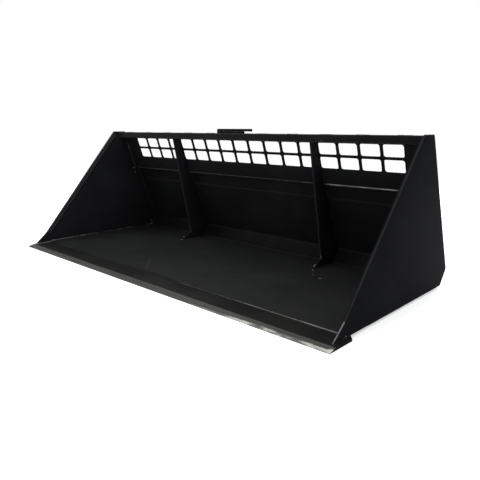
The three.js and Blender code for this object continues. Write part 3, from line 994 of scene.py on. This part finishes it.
@dataclass
class SidePlates(Assembly):
    """The two side plates and the flat bars along their sloped edges."""

    toe: Flat = (-0.5670, 0.0130)
    knee: Flat = (-0.4860, 0.0820)
    top_front: Flat = (0.1126, 0.7800)
    top_rear: Flat = (0.2156, 0.7800)
    heel: Flat = (0.4410, 0.0130)
    bar_width: float = 0.0242
    screen_weld_top: float = 0.7330
    first_stitch: float = 0.06
    stitch: float = 0.045
    stitch_step: float = 0.155
    stitch_count: int = 6
    # Painted light and shade: one paint, with the left plate's inside face given a lighter coat than the
    # right plate's outside face.
    coats: dict[Side, Colour] = field(default_factory=lambda: {
        Side.LEFT: (0.0088, 0.0090, 0.0100, 1),
        Side.RIGHT: (0.0074, 0.0076, 0.0086, 1),
    })

    def outline(self, x: float) -> tuple[WornLine, ...]:
        """Rubbed lines round a side plate's edges, at a distance across the bucket.

        Args:
            x: The distance.

        Returns:
            The lines.
        """
        def line(a: Flat, b: Flat, strength: float, gone: float = 0.005) -> WornLine:
            """One rubbed edge."""
            return WornLine((x, *a), (x, *b), 0.0015, gone, strength)

        return (
            line(self.knee, self.top_front, 0.06, 0.004),
            line((-0.560, 0.020), self.knee, 0.75),
            line(self.toe, self.heel, 0.05),
            line(self.top_front, self.top_rear, 0.12),
        )

    def bar_edge_highlights(self, x: float) -> tuple[WornLine, ...]:
        """Painted highlight lines along a side bar's two long edges, at a distance across the bucket.

        Args:
            x: The distance.

        Returns:
            The lines.
        """
        along = (Vector(self.top_front) - Vector(self.knee)).normalized()
        across = Vector((along.y, -along.x))
        lines = []
        for reach, strength in ((0.003, 0.10), (0.0215, 0.24)):
            start = Vector(self.knee) + along * 0.012 + across * reach
            end = Vector(self.top_front) - along * 0.012 + across * reach
            lines.append(WornLine((x, *start), (x, *end), 0.002, 0.005, strength))
        return tuple(lines)

    def build(self) -> None:
        """Builds and dresses both sides."""
        for side in Side:
            x = side.value * self.outer
            if side is Side.LEFT:
                inside = -self.inner
                marks = (
                    Mark((inside + 0.006, 0.279, 0.499), 0.0115),
                    Mark((inside + 0.006, 0.292, 0.460), 0.0095),
                    Mark((inside + 0.006, 0.424, 0.052), 0.0115),
                )
            else:
                marks = (Mark((x, -0.470, 0.018), 0.0065),)
            paint = Paint(f"side_plate_{side.word}_paint", specular=0.0015,
                          colour=self.coats[side], worn=self.outline(x), marks=marks,
                          flow=(1, 6, 6), wave=0.0022)
            self.dress(Plate(f"side_plate_{side.word}").build(), "side_paint", paint, EASED)
            face = side.value * (self.inner - 0.0051)
            bar = Paint(f"side_bar_{side.word}_paint", colour=self.coats[side], flow=(1, 6, 6))
            edges = bar
            # Painted light: the left bar gets a lighter coat than the right one, with painted highlight
            # lines along its long edges and pale eased edges.
            if side is Side.LEFT:
                bar = replace(bar, colour=(0.0115, 0.0118, 0.0125, 1), worn=self.bar_edge_highlights(face))
                edges = EDGE_HIGHLIGHT_PAINT
            self.dress(Plate(f"side_edge_bar_{side.word}").build(), "side_paint", bar, edges)
            self.welds(side)

    def bright_stretches(self) -> tuple[WornLine, ...]:
        """Where the weld along the floor's left end shines.

        Returns:
            The stretches, each from front to rear.
        """
        places = ((-0.548, -0.440, 2.2), (-0.440, -0.300, 0.50), (-0.215, -0.205, 1.0),
                  (-0.300, 0.240, 0.22), (0.400, 0.424, 0.6))
        x, level = -self.inner, 0.018
        return tuple(WornLine((x, front, level), (x, rear, level), 0.012, 0.022, strength)
                     for front, rear, strength in places)

    def beside_screen(self) -> list[Vector]:
        """The line up the screen's front face."""
        heights = (self.section.screen_foot, self.screen_weld_top)
        return [self.section.on_screen(height, self.section.sheet) for height in heights]

    def round_rail(self) -> list[Vector]:
        """The line down the rail's front and back along its underside.

        Returns:
            The line's points as (y, z).
        """
        low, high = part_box("top_rail")
        return [Vector((low.y, high.z - 0.004)), Vector((low.y, low.z)), Vector((high.y - 0.004, low.z))]

    def over_edge(self, start: float, end: float) -> list[Vector]:
        """A line along the cutting edge's top, between two places from front to back."""
        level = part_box("cutting_edge")[1].z
        return [Vector((start, level)), Vector((end, level))]

    def bar_stitches(self, side: Side) -> bpy.types.Object:
        """Stitches the flat bar's rear edge to its side plate.

        Args:
            side: Which side plate.

        Returns:
            The row of stitches.
        """
        along = (Vector(self.top_front) - Vector(self.knee)).normalized()
        across = Vector((along.y, -along.x)) * self.bar_width
        first = Vector(self.knee) + along * self.first_stitch + across
        start = (side.value * self.inner, *first)
        step, length = (0, *(along * self.stitch_step)), (0, *(along * self.stitch))
        return Bead().stitches(f"weld_side_bar_{side.word}", start, step, length, self.stitch_count)

    def welds(self, side: Side) -> None:
        """Lays the welds that join a side plate to the sheets, the rail and the edge.

        Args:
            side: Which side plate.
        """
        inside, outside = side.value * self.inner, side.value * self.outer
        stretches = self.bright_stretches() if side is Side.LEFT else ()
        metal = WeldMetal(f"side_weld_metal_{side.word}", thin=0.05, stretches=stretches)
        screen_metal = WeldMetal("screen_side_weld_metal", thin=0.16)
        shell, back = self.section.shell(self.section.sheet), self.section.shell(0.0)
        behind = trimmed(back, 0.16, span(back) - 0.004)
        on_outside = self.over_edge(self.toe[0] + 0.004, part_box("cutting_edge")[1].y - 0.006)
        on_inside = self.over_edge(self.toe[0] + 0.010, self.section.floor_front - 0.004)
        bead = Bead()
        for name, x, line, laid, slot, finish in (
            ("shell_side", inside, shell, bead, "side_paint", metal),
            ("screen_side", inside, self.beside_screen(), bead, "side_paint", screen_metal),
            ("rail_end", inside, self.round_rail(), Bead(radius=0.004), "rail_paint", WELD),
            ("edge_outside", outside, on_outside, bead, "edge_steel", metal),
            ("edge_inside", inside, on_inside, bead, "edge_steel", metal),
            ("shell_outside", inside, behind, Bead(radius=0.0042), "side_paint", WELD),
        ):
            self.dress(laid.seam(f"weld_{name}_{side.word}", along_side(x, line)), slot, finish)
        self.dress(self.bar_stitches(side), "side_paint", WELD)


@dataclass
class Shell(Assembly):
    """The bent floor and back sheet, the cutting edge under its front and the strips beneath."""

    stitch: float = 0.05
    stitch_inset: float = 0.015
    stitch_count: int = 6

    def build(self) -> None:
        """Builds and dresses the sheet, the edge and the strips."""
        depth = self.section.sheet
        line = self.section.shell(depth)
        bends = [line[1 + self.section.arc_steps // 2], line[2 + self.section.arc_steps * 3 // 2]]
        lines = [WornLine((-0.9, *bend), (1.15, *bend), 0.0012, 0.004, 0.035) for bend in bends]
        heat = self.section.on_back(0.355, -self.section.inset - depth)
        lines.append(WornLine((-1.15, *heat), (1.15, *heat), 0.002, 0.009, 0.022))
        level = self.section.floor_under + depth
        lines.append(WornLine((-0.300, -0.270, level), (-0.135, -0.420, level), 0.001, 0.011, 0.035))
        floor = Paint("floor_paint", colour=(0.0048, 0.0049, 0.0054, 1), specular=0.02, dust=0.145,
                      scuffs=0.20, roughness=0.46, wave=0.0016, flow=(1, 9, 1), worn=tuple(lines),
                      marks=(Mark((0.585, 0.209, 0.0214), 0.009), Mark((0.642, 0.128, 0.0214), 0.008),
                             Mark((0.709, 0.102, 0.0214), 0.011), Mark((-0.560, 0.205, 0.0214), 0.013)))
        self.dress(Plate("floor_back_shell").build(), "shell_paint", floor, EASED)
        self.dress(Plate("cutting_edge", ease=0.0010).build(), "edge_steel", GroundEdge(), GroundEdge())
        lap = Vector((self.section.floor_front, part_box("cutting_edge")[1].z))
        ends = [(-self.inner + 0.006, *lap), (self.inner - 0.006, *lap)]
        seam = WeldMetal("floor_seam_metal", colour=(0.013, 0.0135, 0.0130, 1), thin=0.0, roughness=0.30,
                         spans=((0.20, 0.60, 0.16), (0.60, 0.98, 0.42), (0.98, 1.20, 0.62)))
        self.dress(Bead(radius=0.0034).seam("weld_floor_seam", ends), "shell_paint", seam)
        strip = Paint("wear_strip_paint", roughness=0.50, dust=0.06, scuffs=0.6)
        for side in Side:
            for place in ("outer", "inner"):
                node = f"wear_strip_{place}_{side.word}"
                self.dress(Plate(node, ease=0.0010).build(), "strip_paint", strip, EASED)
                self.strip_welds(node)

    def strip_welds(self, node: str) -> None:
        """Stitches a wear strip to the floor's underside along both its edges.

        Args:
            node: The strip's node.
        """
        low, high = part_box(node)
        room = high.y - low.y - 2 * self.stitch_inset - self.stitch
        step, length = (0, room / (self.stitch_count - 1), 0), (0, self.stitch, 0)
        rows = []
        for index, x in enumerate((low.x, high.x)):
            start = (x, low.y + self.stitch_inset, self.section.floor_under)
            name = f"{node}_stitches_{index}"
            rows.append(Bead().stitches(name, start, step, length, self.stitch_count))
        self.dress(Bench.joined(f"weld_{node}", rows), "strip_paint", WELD)


@dataclass
class Screen(Assembly):
    """The see-through panel, its sill, the top rail and the step on the rail."""

    def build(self) -> None:
        """Builds and dresses the panel and what it is welded to."""
        screen = Paint("screen_paint_coat", colour=(0.0066, 0.0067, 0.0072, 1), dust=0.02)
        self.dress(Plate("screen_panel", ease=0.0007).build(), "screen_paint", screen, EASED)
        self.dress(Plate("screen_sill", ease=0.0005).build(), "screen_paint", screen, EASED)
        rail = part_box("top_rail")
        ends = [(-self.inner, rail[0].y, rail[0].z), (self.inner, rail[0].y, rail[0].z)]
        # Painted light: the rail's coat is made lighter towards its left end.
        coat = Paint("rail_paint_coat", colour=(0.0062, 0.0063, 0.0060, 1), painted_left_light=0.13,
                     worn=(WornLine(*ends, 0.001, 0.004, 0.22),))
        self.dress(Plate("top_rail", ease=0.0035, segments=3).build(), "rail_paint", coat, EASED)
        foot = self.section.on_screen(self.section.screen_foot, 0.6 * self.section.sheet)
        # Painted highlight: the foot weld's bright spans stand for light caught along the glossy bead.
        glossy = WeldMetal("screen_foot_weld_metal", colour=(0.012, 0.0122, 0.0125, 1), thin=0.10,
                           roughness=0.24, spans=((0.60, 1.02, 0.50), (1.08, 1.16, 0.50)))
        ends = [(-self.inner + 0.006, *foot), (self.inner - 0.006, *foot)]
        self.dress(Bead(radius=0.0052).seam("weld_screen_foot", ends), "screen_paint", glossy)
        half = 0.5 * self.section.sheet
        back = self.section.on_back(self.section.shell_top, -self.section.inset - half)
        tail = [(-self.inner + 0.006, *back), (self.inner - 0.006, *back)]
        self.dress(Bead(radius=0.0050).seam("weld_screen_rear", tail), "screen_paint", WELD)
        top = self.section.on_screen(self.section.rail_top - 0.0015, self.section.sheet)
        start = (-1.16, top.x, top.y)
        row = Bead(radius=0.0026).stitches("weld_rail_top", start, (0.22, 0, 0), (0.08, 0, 0), 11)
        self.dress(row, "rail_paint", WELD)
        self.step()

    def step(self) -> None:
        """Builds and dresses the serrated step."""
        coat = Paint("step_paint_coat", colour=(0.0060, 0.0061, 0.0062, 1), specular=0.0,
                     roughness=0.55, dust=0.05, scuffs=0.5)
        self.dress(Plate("step_riser", ease=0.0010).build(), "step_paint", coat, EASED)
        self.dress(Plate("step_tread", ease=0.0005).build(), "step_paint", coat, coat)
        low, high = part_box("step_riser")
        for name, level in (("weld_step_riser", low.z), ("weld_step_tread", high.z)):
            start = (low.x + 0.008, low.y, level)
            row = Bead(radius=0.0028).stitches(name, start, (0.056, 0, 0), (0.028, 0, 0), 4)
            self.dress(row, "step_paint", WELD)


@dataclass
class Ribs(Assembly):
    """The two upright ribs inside the bucket."""

    weld_front: float = 0.236

    def build(self) -> None:
        """Builds and dresses both ribs."""
        for side in Side:
            low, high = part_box(f"rib_{side.word}")
            front = WornLine((high.x, 0.163, 0.60), (high.x, 0.306, 0.063), 0.001, 0.004, 0.25)
            marks = (Mark((high.x + 0.002, 0.296, 0.075), 0.0135),
                     Mark((high.x + 0.002, 0.266, 0.058), 0.0120),
                     Mark((high.x + 0.002, 0.243, 0.037), 0.0130))
            if side is Side.LEFT:
                marks = (Mark((high.x + 0.003, 0.240, 0.034), 0.010),)
            coat = Paint(f"rib_{side.word}_paint", worn=(front,), marks=marks, flow=(1, 1, 8))
            self.dress(Plate(f"rib_{side.word}").build(), "rib_paint", coat, EASED)
            self.welds(side, low, high)

    def welds(self, side: Side, low: Vector, high: Vector) -> None:
        """Lays broken fillets down both faces of a rib.

        Args:
            side: Which rib.
            low: Its box's lowest corner.
            high: Its box's highest corner.
        """
        bead = Bead(radius=0.0045)
        line = [point for point in self.section.shell(self.section.sheet) if point.x > low.y]
        line.insert(0, Vector((self.weld_front, self.section.floor_under + self.section.sheet)))
        runs = []
        for x in (low.x, high.x):
            reach = 0.0
            while reach < span(line) - 0.05:
                runs.append(bead.lay(along_side(x, trimmed(line, reach, reach + 0.085))))
                reach += 0.16
        metal = WeldMetal(f"rib_weld_metal_{side.word}", thin=0.04)
        self.dress(bead.finish(f"weld_rib_{side.word}", runs), "rib_paint", metal)


@dataclass
class QuickAttach(Assembly):
    """The frame behind the bucket that the loader's coupler takes hold of."""

    width: float = 1.143
    plate_width: float = 0.230
    bottom: float = 0.040
    height: float = 0.450
    standoff: float = 0.045
    plate: float = 0.0095

    def build(self) -> None:
        """Builds and dresses the frame."""
        coat = Paint("attach_paint_coat", roughness=0.44, flow=(1, 1, 8), dust=0.03, scuffs=0.35)
        self.dress(Plate("attach_top_hook", ease=0.0010).build(), "mount_paint", coat, EASED)
        self.dress(Plate("attach_lower_tie", ease=0.0010).build(), "mount_paint", coat, EASED)
        for side in Side:
            for kind in ("plate", "foot", "gusset_outer", "gusset_inner"):
                plate = Plate(f"attach_{kind}_{side.word}", ease=0.0010)
                self.dress(plate.build(), "mount_paint", coat, EASED)
            self.welds(side)
        hook = self.section.on_back(self.bottom + self.height + 0.0003 + self.plate, -self.section.inset)
        top = [(-self.width / 2, *hook), (self.width / 2, *hook)]
        self.dress(Bead(radius=0.0055).seam("weld_hook_shell", top), "mount_paint", WELD)

    def welds(self, side: Side) -> None:
        """Lays the frame's welds on one side.

        Args:
            side: Which side.
        """
        bead, word = Bead(radius=0.0050), side.word
        s0, s1 = self.bottom + 0.004, self.bottom + self.height - 0.004
        runs = []
        for kind in ("gusset_outer", "gusset_inner"):
            low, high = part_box(f"attach_{kind}_{word}")
            for x in (low.x, high.x):
                line = [self.section.on_back(s, -self.section.inset) for s in (s0, s1)]
                runs.append(bead.lay(along_side(x, line)))
                end = self.width / 2
                hidden = abs(x) > end - 0.001 or abs(x) < end - self.plate_width + 0.001
                out = self.standoff + (0.0002 if hidden else 0.0)
                line = [self.section.on_back(s, out) for s in (s0, s1)]
                runs.append(bead.lay(along_side(x, line)))
        self.dress(bead.finish(f"weld_gussets_{word}", runs), "mount_paint", WELD)
        low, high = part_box(f"attach_plate_{word}")
        rear = self.section.on_back(self.bottom, self.standoff + self.plate)
        foot = bead.lay([(low.x + 0.006, *rear), (high.x - 0.006, *rear)])
        head = self.section.on_back(self.bottom + self.height, self.standoff + self.plate)
        hook = bead.lay([(low.x + 0.006, *head), (high.x - 0.006, *head)])
        self.dress(bead.finish(f"weld_attach_plate_{word}", [foot, hook]), "mount_paint", WELD)


# ---- studio -----------------------------------------------------------------------------------
@dataclass
class Studio:
    """The plain pale floor, the soft lights and the camera."""

    lens: float = 37.5
    camera_place: Point = (2.1589, -2.0684, 0.8123)
    camera_turn: Point = (math.pi / 2 - 0.22218, 0.0, 0.75474)
    sky: float = 0.60

    def build(self) -> None:
        """Sets up everything that isn't the object."""
        scene = bpy.context.scene
        scene.view_settings.view_transform = "Standard"
        self.floor()
        self.world(scene)
        self.light("overhead_light", (0.0, 0.2, 4.2), (0.0, 0.2, 0.0), 5.0, 125.0)
        self.light("front_fill_light", (1.0, -5.5, 1.8), (0.2, 0.0, 0.4), 3.0, 55.0)
        self.light("rear_light", (0.0, 4.8, 2.4), (0.0, 0.5, 0.3), 2.0, 90.0)
        self.light("front_left_light", (-3.2, -3.0, 3.0), (0.0, 0.0, 0.3), 2.2, 60.0)
        self.light("rear_left_light", (-3.4, 2.8, 2.6), (-0.2, -0.4, 0.0), 2.2, 60.0)
        lens = bpy.data.cameras.new("camera")
        lens.lens = self.lens
        lens.sensor_width = 36.0
        lens.clip_end = 200.0
        camera = bpy.data.objects.new("camera", lens)
        camera.location = self.camera_place
        camera.rotation_euler = self.camera_turn
        scene.collection.objects.link(camera)
        scene.camera = camera

    def floor(self) -> None:
        """Lays the pale floor."""
        Bench.clear()
        bpy.ops.mesh.primitive_plane_add(size=120.0, location=(0, 0, 0))
        ground = bpy.context.object
        ground.name = "studio_floor"
        ground.data.materials.append(PaleFloor("pale_floor").material())

    def world(self, scene: bpy.types.Scene) -> None:
        """Makes the surrounding light: white to look at, softer as a light.

        Args:
            scene: The scene that gets it.
        """
        world = bpy.data.worlds.new("studio_world")
        scene.world = world
        world.use_nodes = True
        graph = Graph(world.node_tree)
        seen = graph.node("ShaderNodeLightPath").outputs["Is Camera Ray"]
        cool = (0.97, 0.985, 1.0, 1)
        soft = graph.node("ShaderNodeBackground", inputs={"Color": cool, "Strength": self.sky})
        white = graph.node("ShaderNodeBackground", inputs={"Color": (1, 1, 1, 1), "Strength": 1.0})
        inputs = {0: seen, 1: soft.outputs[0], 2: white.outputs[0]}
        both = graph.node("ShaderNodeMixShader", inputs=inputs)
        graph.node("ShaderNodeOutputWorld", inputs={"Surface": both.outputs[0]})

    def light(self, name: str, place: Point, target: Point, size: float, power: float) -> None:
        """Hangs one square soft light.

        Args:
            name: The light's name.
            place: Where its middle hangs.
            target: What it faces.
            size: The length of its side in metres.
            power: Its power in watts.
        """
        lamp = bpy.data.lights.new(name, "AREA")
        lamp.shape = "SQUARE"
        lamp.size = size
        lamp.energy = power
        hung = bpy.data.objects.new(name, lamp)
        hung.location = place
        hung.rotation_euler = (Vector(target) - Vector(place)).to_track_quat("-Z", "Y").to_euler()
        bpy.context.scene.collection.objects.link(hung)


def main() -> None:
    """Builds the bucket's pieces in order, then the studio."""
    logging.basicConfig(level=logging.INFO, format="%(message)s", stream=sys.stdout)
    for assembly in (SidePlates(), Shell(), Screen(), Ribs(), QuickAttach()):
        assembly.build()
        log.info("%s built", type(assembly).__name__)
    Studio().build()


if __name__ == "__main__":
    main()
